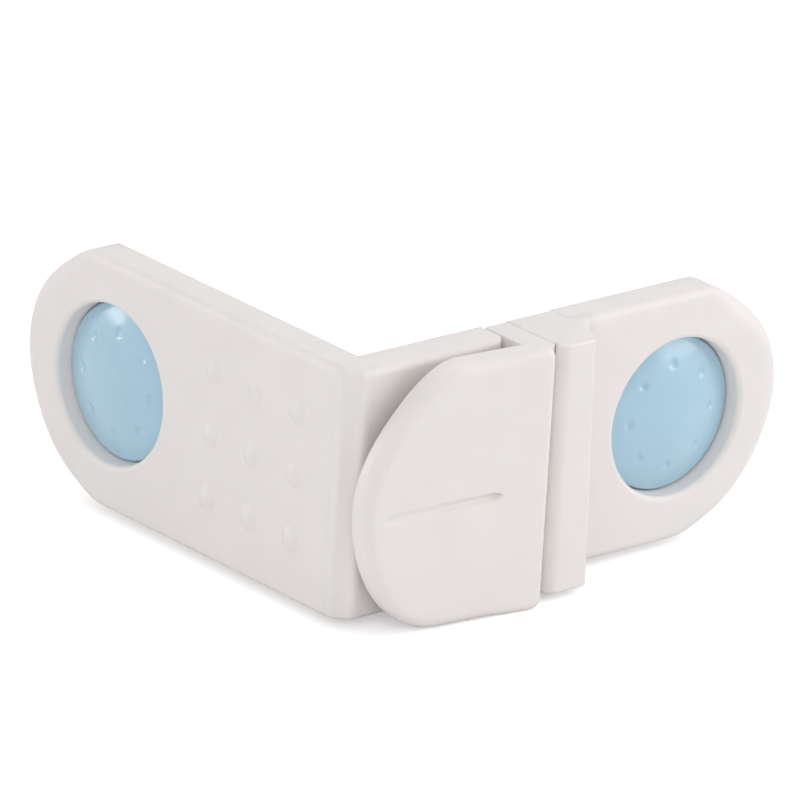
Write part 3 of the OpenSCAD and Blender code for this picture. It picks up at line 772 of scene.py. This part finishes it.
class LOCK_OT_catch_pad(bpy.types.Operator):
    """Builds the catch pad: plate, recess and the block with its tooth pocket"""
    bl_idname = "lock.catch_pad"
    bl_label = "Catch pad"

    def execute(self, context):
        p, b = sizes("plates"), sizes("block")
        skin = Skin()
        front, back = recess(skin, p.catch_reach)
        start = b.left + b.foot - 3.0
        far = round_end(p, p.catch_reach)
        outline = [(start, 0.0, 0.0)] + [(u, 0.0, 0.0) for u in straight_run(start, far[0][0], 5)] + far
        outline += [(u, TOP, 0.0) for u in straight_run(far[-1][0], start, 5)] + [(start, TOP, 0.0)]
        outline += [(start, z, 0.0) for z in straight_run(TOP, 0, 5)]
        plate_skin(skin, p, outline, 0, [front], [back])
        self.block(skin, p, b, sizes("lever"))
        skin.piece("catch_pad_moulding", on_strap, "white_plastic", "catch_pad", ["catch_pad"])
        return {"FINISHED"}

    def block(self, skin, p, b, lever):
        """The block as plan outlines stacked from its foot to its top, with a soft brow at both ends."""
        sliver = 0.02
        toe = Vector((b.left + b.foot, PLATE - p.edge_round))
        pocket_deep = lever.tooth_reach + lever.tooth_gap - (b.left - lever.leg_left - lever.leg_w)
        low = lever.tooth_back - lever.tooth_gap
        high = lever.tooth_back + lever.tooth_crest + lever.tooth_lead + lever.tooth_gap

        def plan(z, gaping=False):
            right = b.left + b.width + b.flare * (1 - z / TOP)
            slope = (toe - Vector((right, b.front))).normalized()
            s = min(z - sliver, TOP - sliver - z)
            lean = b.brow - min(s, b.brow)
            inset = b.brow - math.sqrt(max(0.0, b.brow ** 2 - lean ** 2))
            fall = 1 - min(s, p.edge_round) / p.edge_round
            face = PLATE - p.edge_round + p.edge_round * math.sqrt(max(0.0, 1 - fall * fall)) - sliver * 1.5
            left = b.left + inset
            deep = left + (pocket_deep if gaping else 0)
            points = [(left, sliver + inset), (left, low), (deep, low), (deep, high), (left, high)]
            r = b.round_left
            points += arc((b.left + r, b.front - r), r - inset, 180, -90, 8)
            r = b.round
            normal = Vector((-slope[1], slope[0]))
            lay = math.atan2(normal[1], normal[0])
            centre = Vector((right - r * math.tan((math.pi / 2 - lay) / 2), b.front - r))
            points += arc(centre, r - inset, 90, math.degrees(lay) - 90, 8)
            line = centre + normal * (r - inset)
            run = (face - line[1]) / slope[1]
            meet = line + slope * run
            points.append(tuple(line + slope * (run - b.cove) * 0.5))
            a, c = meet - slope * b.cove, Vector((meet[0] + b.cove, face))
            for t in [i / 7 for i in range(8)]:
                points.append(tuple(a * (1 - t) ** 2 + meet * 2 * t * (1 - t) + c * t * t))
            sunk = b.left + b.foot - b.tuck
            points += [(c[0], face - 0.5), (sunk, face - 0.6), (sunk, sliver + inset)]
            return [(u, d, z) for u, d in points]

        brow = [0.0, 0.04, 0.12, 0.24, 0.36, 0.45, 0.65, 0.95, 1.3, 1.7]
        heights = [sliver + s for s in brow] + [4, 8]
        floor = MIDDLE - lever.tooth_h / 2 - lever.tooth_gap
        rows = [plan(z) for z in heights] + [plan(floor), plan(floor, True)]
        rows += [plan(z, True) for z in (15, 19, 23, 27)]
        rows += [plan(TOP - floor, True), plan(TOP - floor)] + [plan(TOP - z) for z in reversed(heights)]
        loops = [skin.loop(row) for row in rows]
        count = len(rows[0])
        for one, two in zip(loops, loops[1:]):
            skin.join(one, two, {count - 1})
        skin.cap(loops[0])
        skin.cap(loops[-1])
        back = [loop[0] for loop in loops] + [loop[-1] for loop in reversed(loops)]
        cores = cored(skin, b.left + p.core_margin, b.left + p.core_margin + b.core_w, b.front - b.skin,
                      p.core_w, p, sliver)
        skin.fill([back] + cores)


# Caps

class LOCK_OT_caps(bpy.types.Operator):
    """Builds the two domed caps with a ring of shallow grip dimples"""
    bl_idname = "lock.caps"
    bl_label = "Caps"

    def execute(self, context):
        p = sizes("plates")
        self.cap("left_cap_dome", on_long_arm, "left_cap", p.long_reach)
        self.cap("right_cap_dome", on_strap, "right_cap", p.catch_reach)
        return {"FINISHED"}

    def cap(self, name, place, body, reach):
        """A cap: its dome with the dimples, its edge and its hollow underside over the boss."""
        r = sizes("recess")
        crown = PLATE - r.sink + r.rise
        dome = (r.cap_r ** 2 + r.rise ** 2) / (2 * r.rise)
        count = 180
        dimples = [(r.dimple_at * math.cos(a), r.dimple_at * math.sin(a)) for a in
                   [math.pi / 2 + math.pi / 4 * k for k in range(8)]]

        def height(x, z, lower=0.0):
            base = crown - lower - dome + math.sqrt(dome ** 2 - x * x - z * z)
            if lower:
                return base
            for u, v in dimples:
                t = math.hypot(x - u, z - v) / r.dimple_r
                if t < 1:
                    base -= r.dimple_d * (1 - t * t) ** 1.5
            return base

        def ring(radius, depth=None, lower=0.0):
            return [(reach + x, height(x, z, lower) if depth is None else depth, MIDDLE + z)
                    for x, _, z in circle((0, 0), radius, 0, count)]

        skin = Skin()
        flat = r.cap_r - r.cap_edge
        rows = [ring(flat * i / 56) for i in range(1, 57)]
        rim = height(flat, 0)
        for i in range(1, 8):
            a = math.pi / 2 * i / 7
            rows.append(ring(flat + r.cap_edge * math.sin(a), rim - r.cap_edge + r.cap_edge * math.cos(a)))
        base = r.floor + r.snap
        ring_in = r.boss_r + r.snap
        rows += [ring(r.cap_r, base + 0.15), ring(r.cap_r - 0.15, base), ring(ring_in, base)]
        rows += [ring(ring_in * (1 - i / 8), None, r.wall) for i in range(8)]
        first, last = skin.chain(rows)
        skin.point_to(first, (reach, height(0, 0), MIDDLE))
        skin.point_to(last, (reach, height(0, 0, r.wall), MIDDLE))
        skin.piece(name, place, "blue_plastic", body, [body])


# Hinge web and spring

class LOCK_OT_hinge_web(bpy.types.Operator):
    """Builds the thin web strip with its shallow flute across the outer corner"""
    bl_idname = "lock.hinge_web"
    bl_label = "Hinge web"

    def execute(self, context):
        p, s = sizes("plates"), sizes("spring")
        floor = 5.45

        def point(out, across, z):
            """A point by its distance out along the corner's diagonal and across it."""
            return (ROOT * (across - out), ROOT * (out + across), z)

        def fallen(z, r):
            """How far a rounding along the top or the bottom has fallen back."""
            near = min(z, TOP - z, r)
            return r - math.sqrt(r * r - (r - near) ** 2)

        def outer(across, z):
            """The front: a shallow flute that turns softly into the plates' faces, a hair above them."""
            face = CORNER - abs(across) - math.sqrt(2) * fallen(z, p.edge_round)
            flute = CORNER - s.soft_sink + 0.11 * across * across - fallen(z, s.soft_round)
            soft = s.soft_edge
            both = -soft * math.log(math.exp(-face / soft) + math.exp(-flute / soft))
            return both + (face + 0.006 - both) * smooth((abs(across) - s.soft_half + 0.6) / 0.6)

        def inner(across, z):
            """The back: flat behind the flute, and just under the front at both sides."""
            deep = min(floor, outer(across, z) - 0.15)
            edge = smooth((abs(across) - s.soft_half + 0.7) / 0.7)
            return deep + (outer(across, z) - 0.06 - deep) * edge

        skin = Skin()
        ways = [s.soft_half * (i / 24 - 1) for i in range(49)]
        ease = [0.01, 0.03, 0.08, 0.16, 0.28, 0.44, 0.65, 0.9, 1.15, 1.45]
        heights = ease + straight_run(1.45, TOP - 1.45, 3) + [TOP - z for z in reversed(ease)]
        rows = []
        for z in heights:
            row = [point(outer(a, z), a, z) for a in ways]
            rows.append(row + [point(inner(a, z), a, z) for a in reversed(ways)])
        first, last = skin.chain(rows)
        skin.cap(first)
        skin.cap(last)
        web = skin.piece("hinge_web_strip", on_strap, "white_plastic", None, ["hinge_web"])
        end = on_strap(point(CORNER - s.web_sink, s.web_half, MIDDLE))
        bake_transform(web)
        return {"FINISHED"}


class LOCK_OT_return_spring(bpy.types.Operator):
    """Builds the return spring's coil, which rides on the strap"""
    bl_idname = "lock.return_spring"
    bl_label = "Return spring"

    def execute(self, context):
        s = sizes("spring")
        low = -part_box("return_spring")[1][1] / MM - BACK
        high = -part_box("return_spring")[0][1] / MM - BACK
        steps, sides = 40 * s.turns, 10
        rows = []
        for i in range(steps + 1):
            t = i / steps
            turn = 2 * math.pi * s.turns * t
            climb = low + s.wire_r + (high - low - 2 * s.wire_r) * t
            row = []
            for k in range(sides):
                a = 2 * math.pi * k / sides
                r = s.coil_r + s.wire_r * math.cos(a)
                row.append((s.along + r * math.cos(turn), climb + s.wire_r * math.sin(a) * 0.97,
                            MIDDLE + r * math.sin(turn)))
            rows.append(row)
        skin = Skin()
        first, last = skin.chain(rows)
        skin.cap(first)
        skin.cap(last)
        coil = skin.piece("return_spring_coil", on_strap, "steel", "strap", ["return_spring"], 60)
        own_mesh(coil)
        return {"FINISHED"}


class LOCK_OT_adhesive(bpy.types.Operator):
    """Builds the foam pads and finishes the liners and the pin"""
    bl_idname = "lock.adhesive"
    bl_label = "Adhesive and pin"

    def execute(self, context):
        p = sizes("plates")
        self.foam("left_foam_sheet", on_long_arm, "long_arm", "left_foam_pad", p.long_reach)
        self.foam("right_foam_sheet", on_strap, "catch_pad", "right_foam_pad", p.catch_reach)
        for node, slot in (("left_liner", "liner_film"), ("right_liner", "liner_film"),
                           ("lever_pin", "steel")):
            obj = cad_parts[node]
            obj.data.materials.clear()
            obj.data.materials.append(finish_material(slot))
        return {"FINISHED"}

    def foam(self, name, place, body, node, reach):
        """A foam pad with one round end, its edges drawn in a little at both faces, and its hole."""
        f, p = sizes("foam"), sizes("plates")
        r = p.end_r - f.inset
        low, high = f.inset, TOP - f.inset
        kink = math.degrees(math.asin((MIDDLE - f.inset) / r))
        far = arc((reach, MIDDLE), r, -kink, 2 * kink, 40)
        start = reach - f.tail
        outline = [(start, low)] + [(u, low) for u in straight_run(start, far[0][0], 4)]
        outline += far + [(u, high) for u in straight_run(far[-1][0], start, 4)]
        outline += [(start, high)] + [(start, z) for z in straight_run(high, low, 4)]
        levels = [(-f.thick, 1.0), (-f.thick * 0.96, 0.5), (-f.thick * 0.8, 0.1), (-f.thick * 0.5, 0.0),
                  (-f.thick * 0.2, 0.1), (-f.thick * 0.04, 0.5), (0.0, 1.0)]
        skin = Skin()
        rows = [[(u, d, z) for u, z in drawn_in(outline, f.bulge * s)] for d, s in levels]
        first, last = skin.chain(rows)
        holes = skin.revolve((reach, MIDDLE), [(f.hole_r + f.bulge * s, d) for d, s in levels], 48)
        skin.fill([first, holes[0]])
        skin.fill([last, holes[1]])
        sheet = skin.piece(name, place, "foam", body, [node], 60)


# Materials

def node_tree(name):
    """A new material: itself, its nodes, its shader and the place on the object in metres."""
    made = bpy.data.materials.new(name)
    made.use_nodes = True
    tree = made.node_tree
    shader = tree.nodes["Principled BSDF"]
    place = tree.nodes.new("ShaderNodeTexCoord")
    return made, tree, shader, place.outputs["Object"]


def noise(tree, place, scale, detail=2.0, rough=0.5):
    """A noise texture's value; the scale counts its features in a metre."""
    made = tree.nodes.new("ShaderNodeTexNoise")
    made.inputs["Scale"].default_value = scale
    made.inputs["Detail"].default_value = detail
    made.inputs["Roughness"].default_value = rough
    tree.links.new(place, made.inputs["Vector"])
    return made.outputs["Fac"]


def ramp(tree, source, stops):
    """A colour ramp from (position, colour) stops."""
    made = tree.nodes.new("ShaderNodeValToRGB")
    line = made.color_ramp
    while len(line.elements) < len(stops):
        line.elements.new(0.5)
    for element, (at, shade) in zip(line.elements, stops):
        element.position = at
        element.color = (*shade, 1)
    tree.links.new(source, made.inputs["Fac"])
    return made.outputs["Color"]


def spread(tree, source, low, high):
    """A texture's value moved to a range."""
    made = tree.nodes.new("ShaderNodeMapRange")
    made.inputs["From Min"].default_value = 0.3
    made.inputs["From Max"].default_value = 0.7
    made.inputs["To Min"].default_value = low
    made.inputs["To Max"].default_value = high
    tree.links.new(source, made.inputs["Value"])
    return made.outputs["Result"]


def bump(tree, source, strength, distance, after=None):
    """A bump from a texture's value, on top of another bump if there is one."""
    made = tree.nodes.new("ShaderNodeBump")
    made.inputs["Strength"].default_value = strength
    made.inputs["Distance"].default_value = distance
    tree.links.new(source, made.inputs["Height"])
    if after:
        tree.links.new(after, made.inputs["Normal"])
    return made.outputs["Normal"]


def shade(base, by):
    """A colour made lighter or darker."""
    return tuple(min(1.0, c * by) for c in base)


def white_plastic():
    """Satin moulded plastic: a faint cloudiness, an eroded mould grain and small changes of gloss."""
    made, tree, shader, place = node_tree("satin white plastic")
    base = tuple(sizes("finishes").white)
    clouds = noise(tree, place, 120, 3)
    tree.links.new(ramp(tree, clouds, [(0.3, shade(base, 0.985)), (0.7, shade(base, 1.012))]),
                   shader.inputs["Base Color"])
    tree.links.new(spread(tree, noise(tree, place, 420, 4), 0.36, 0.46), shader.inputs["Roughness"])
    grain = bump(tree, noise(tree, place, 5200, 3, 0.6), 0.16, 0.00002)
    tree.links.new(bump(tree, noise(tree, place, 260, 2), 0.2, 0.00004, grain), shader.inputs["Normal"])
    shader.inputs["IOR"].default_value = 1.46
    shader.inputs["Subsurface Weight"].default_value = 0.1
    shader.inputs["Subsurface Radius"].default_value = (0.0016, 0.0012, 0.0011)
    shader.inputs["Subsurface Scale"].default_value = 1.0
    return made


def blue_plastic():
    """Gloss plastic of the caps: an even tint with soft flow marks and a slight orange peel."""
    made, tree, shader, place = node_tree("gloss blue plastic")
    base = tuple(sizes("finishes").blue)
    flow = noise(tree, place, 90, 2)
    tree.links.new(ramp(tree, flow, [(0.3, shade(base, 0.97)), (0.7, shade(base, 1.03))]),
                   shader.inputs["Base Color"])
    tree.links.new(spread(tree, noise(tree, place, 500, 3), 0.16, 0.24), shader.inputs["Roughness"])
    tree.links.new(bump(tree, noise(tree, place, 330, 2), 0.12, 0.00004), shader.inputs["Normal"])
    shader.inputs["IOR"].default_value = 1.5
    shader.inputs["Coat Weight"].default_value = 0.6
    shader.inputs["Coat Roughness"].default_value = 0.12
    return made


def steel():
    """Drawn steel wire: fine lines along it and a few dull spots."""
    made, tree, shader, place = node_tree("drawn steel")
    base = tuple(sizes("finishes").steel)
    stretch = tree.nodes.new("ShaderNodeMapping")
    stretch.inputs["Scale"].default_value = (1, 1, 0.05)
    tree.links.new(place, stretch.inputs["Vector"])
    lines = noise(tree, stretch.outputs["Vector"], 9000, 2)
    tree.links.new(ramp(tree, lines, [(0.3, shade(base, 0.8)), (0.7, shade(base, 1.15))]),
                   shader.inputs["Base Color"])
    tree.links.new(spread(tree, noise(tree, place, 900, 3), 0.24, 0.42), shader.inputs["Roughness"])
    tree.links.new(bump(tree, lines, 0.2, 0.00001), shader.inputs["Normal"])
    shader.inputs["Metallic"].default_value = 1.0
    return made


def foam():
    """Closed-cell foam: round cells in its bump, and painted shade in its colour that darkens each cell
    towards its pit.
    """
    made, tree, shader, place = node_tree("closed cell foam")
    base = tuple(sizes("finishes").foam)
    cells = tree.nodes.new("ShaderNodeTexVoronoi")
    cells.inputs["Scale"].default_value = 4200
    tree.links.new(place, cells.inputs["Vector"])
    distance = cells.outputs["Distance"]
    # Painted shade: the colour darkens towards each cell's centre, where its bump is lowest.
    tree.links.new(ramp(tree, distance, [(0.1, shade(base, 0.82)), (0.6, shade(base, 1.05))]),
                   shader.inputs["Base Color"])
    tree.links.new(bump(tree, distance, 0.5, 0.00008), shader.inputs["Normal"])
    shader.inputs["Roughness"].default_value = 0.9
    return made


def liner_film():
    """Waxed release film: faint blotches and a soft sheen."""
    made, tree, shader, place = node_tree("waxed liner film")
    base = tuple(sizes("finishes").liner)
    blotch = noise(tree, place, 180, 4)
    tree.links.new(ramp(tree, blotch, [(0.3, shade(base, 0.94)), (0.7, shade(base, 1.05))]),
                   shader.inputs["Base Color"])
    tree.links.new(spread(tree, blotch, 0.3, 0.45), shader.inputs["Roughness"])
    tree.links.new(bump(tree, noise(tree, place, 1500, 2), 0.1, 0.00003), shader.inputs["Normal"])
    return made


MAKERS = {"white_plastic": white_plastic, "blue_plastic": blue_plastic, "steel": steel, "foam": foam,
          "liner_film": liner_film}
made_materials = {}


def finish_material(slot):
    """The slot's material, made once."""
    if slot not in made_materials:
        made_materials[slot] = MAKERS[slot]()
    return made_materials[slot]


# Stage

# Each lamp's name, place and size in metres, and power in watts
LAMPS = (("front", (-0.78, -0.84, 0.66), 0.9, 4.0),
         ("right", (0.60, -0.40, 0.32), 0.62, 2.3),
         ("left", (-0.58, 0.84, 0.18), 0.34, 1.2),
         ("side", (-1.00, -0.25, 0.35), 0.5, 1.2),
         ("top", (0.1, 0.15, 1.0), 0.7, 1.6))
# The camera's place in metres, and the directions ahead of it and up
CAMERA_PLACE = (-1.22495, -1.40985, 0.74127)
CAMERA_AHEAD = (0.6160, 0.7038, -0.3540)
CAMERA_UP = (0.1873, 0.3056, 0.9336)


class LOCK_OT_stage(bpy.types.Operator):
    """Sets up the floor, the backdrop light, the lamps and the camera"""
    bl_idname = "lock.stage"
    bl_label = "Stage"

    def execute(self, context):
        context.scene.view_settings.view_transform = "Standard"
        self.floor(context)
        self.world(context)
        self.lamps(context)
        self.camera(context)
        return {"FINISHED"}

    def floor(self, context):
        """A pale floor that glows a little for the camera alone, so it meets the white backdrop."""
        ground = bmesh.new()
        low = CAD_BOX[0][2]
        corners = [(-3, -3), (3, -3), (3, 3), (-3, 3)]
        ground.faces.new([ground.verts.new((x, y, low)) for x, y in corners])
        data = bpy.data.meshes.new("floor")
        ground.to_mesh(data)
        ground.free()
        obj = bpy.data.objects.new("floor", data)
        context.scene.collection.objects.link(obj)
        made = bpy.data.materials.new("pale floor")
        made.use_nodes = True
        tree = made.node_tree
        shader = tree.nodes["Principled BSDF"]
        shader.inputs["Base Color"].default_value = (*sizes("finishes").floor, 1)
        shader.inputs["Roughness"].default_value = 0.9
        shader.inputs["Specular IOR Level"].default_value = 0.0
        glow = tree.nodes.new("ShaderNodeEmission")
        glow.inputs["Strength"].default_value = 0.35
        both = tree.nodes.new("ShaderNodeAddShader")
        path = tree.nodes.new("ShaderNodeLightPath")
        pick = tree.nodes.new("ShaderNodeMixShader")
        tree.links.new(shader.outputs[0], both.inputs[0])
        tree.links.new(glow.outputs[0], both.inputs[1])
        tree.links.new(path.outputs["Is Camera Ray"], pick.inputs[0])
        tree.links.new(shader.outputs[0], pick.inputs[1])
        tree.links.new(both.outputs[0], pick.inputs[2])
        tree.links.new(pick.outputs[0], tree.nodes["Material Output"].inputs["Surface"])
        data.materials.append(made)

    def world(self, context):
        """A studio that is white behind the object and greyer towards the room in front of it."""
        world = bpy.data.worlds.new("studio")
        context.scene.world = world
        world.use_nodes = True
        tree = world.node_tree
        tree.nodes.clear()
        place = tree.nodes.new("ShaderNodeTexCoord")
        facing = tree.nodes.new("ShaderNodeVectorMath")
        facing.operation = "DOT_PRODUCT"
        facing.inputs[1].default_value = (-0.66, -0.75, 0.0)
        tree.links.new(place.outputs["Generated"], facing.inputs[0])
        room = ramp(tree, facing.outputs["Value"], [(0.0, (1, 1, 1)), (0.25, (0.8, 0.8, 0.8)),
                                                    (0.9, (0.45, 0.45, 0.45))])
        fill = tree.nodes.new("ShaderNodeBackground")
        fill.inputs["Strength"].default_value = 0.62
        mirrored = tree.nodes.new("ShaderNodeBackground")
        mirrored.inputs["Strength"].default_value = 1.0
        backdrop = tree.nodes.new("ShaderNodeBackground")
        backdrop.inputs["Color"].default_value = (1, 1, 1, 1)
        backdrop.inputs["Strength"].default_value = 1.0
        tree.links.new(room, fill.inputs["Color"])
        tree.links.new(room, mirrored.inputs["Color"])
        path = tree.nodes.new("ShaderNodeLightPath")
        shown = fill.outputs[0]
        for ray, light in (("Is Glossy Ray", mirrored), ("Is Transmission Ray", mirrored),
                           ("Is Camera Ray", backdrop)):
            pick = tree.nodes.new("ShaderNodeMixShader")
            tree.links.new(path.outputs[ray], pick.inputs[0])
            tree.links.new(shown, pick.inputs[1])
            tree.links.new(light.outputs[0], pick.inputs[2])
            shown = pick.outputs[0]
        out = tree.nodes.new("ShaderNodeOutputWorld")
        tree.links.new(shown, out.inputs["Surface"])

    def lamps(self, context):
        """The soft square lamps, each turned to the object."""
        target = Vector((0.02, 0.02, 0.02))
        for name, place, size, power in LAMPS:
            data = bpy.data.lights.new(name, "AREA")
            data.shape = "SQUARE"
            data.size = size
            data.energy = power
            obj = bpy.data.objects.new(name, data)
            obj.location = place
            obj.rotation_mode = "QUATERNION"
            obj.rotation_quaternion = (target - Vector(place)).to_track_quat("-Z", "Y")
            context.scene.collection.objects.link(obj)

    def camera(self, context):
        """A camera with a long lens that looks down at the outer corner."""
        data = bpy.data.cameras.new("camera")
        data.sensor_width = 36
        data.lens = 576.06
        data.clip_start = 0.1
        data.clip_end = 10
        ahead = Vector(CAMERA_AHEAD).normalized()
        right = ahead.cross(Vector(CAMERA_UP)).normalized()
        up = right.cross(ahead)
        obj = bpy.data.objects.new("camera", data)
        turn = Matrix((right, up, -ahead)).transposed()
        obj.matrix_world = Matrix.Translation(Vector(CAMERA_PLACE)) @ turn.to_4x4()
        context.scene.collection.objects.link(obj)
        context.scene.camera = obj


class LOCK_PT_panel(bpy.types.Panel):
    """The builders of the lock, in the order in which they are run"""
    bl_idname = "LOCK_PT_panel"
    bl_label = "Safety Lock"
    bl_space_type = "VIEW_3D"
    bl_region_type = "UI"
    bl_category = "Safety Lock"

    def draw(self, context):
        for builder in BUILDERS:
            self.layout.operator(builder.bl_idname)


BUILDERS = (LOCK_OT_long_arm, LOCK_OT_strap, LOCK_OT_release_lever, LOCK_OT_catch_pad, LOCK_OT_caps,
            LOCK_OT_hinge_web, LOCK_OT_return_spring, LOCK_OT_adhesive, LOCK_OT_stage)
GROUPS = {"plates": PlateSizes, "recess": RecessSizes, "lever": LeverSizes, "block": BlockSizes,
          "spring": SpringSizes, "foam": FoamSizes, "finishes": Finishes}


def register():
    """Registers the sizes, the operators and the panel."""
    for group, kind in GROUPS.items():
        bpy.utils.register_class(kind)
        setattr(bpy.types.Scene, "lock_" + group, bpy.props.PointerProperty(type=kind))
    for kind in BUILDERS + (LOCK_PT_panel,):
        bpy.utils.register_class(kind)


def unregister():
    """Takes them out again."""
    for kind in reversed(BUILDERS + (LOCK_PT_panel,)):
        bpy.utils.unregister_class(kind)
    for group, kind in GROUPS.items():
        delattr(bpy.types.Scene, "lock_" + group)
        bpy.utils.unregister_class(kind)


def main():
    """Builds every piece and the stage."""
    register()
    bpy.ops.lock.long_arm()
    bpy.ops.lock.strap()
    bpy.ops.lock.release_lever()
    bpy.ops.lock.catch_pad()
    bpy.ops.lock.caps()
    bpy.ops.lock.hinge_web()
    bpy.ops.lock.return_spring()
    bpy.ops.lock.adhesive()
    bpy.ops.lock.stage()


if __name__ == "__main__":
    main()
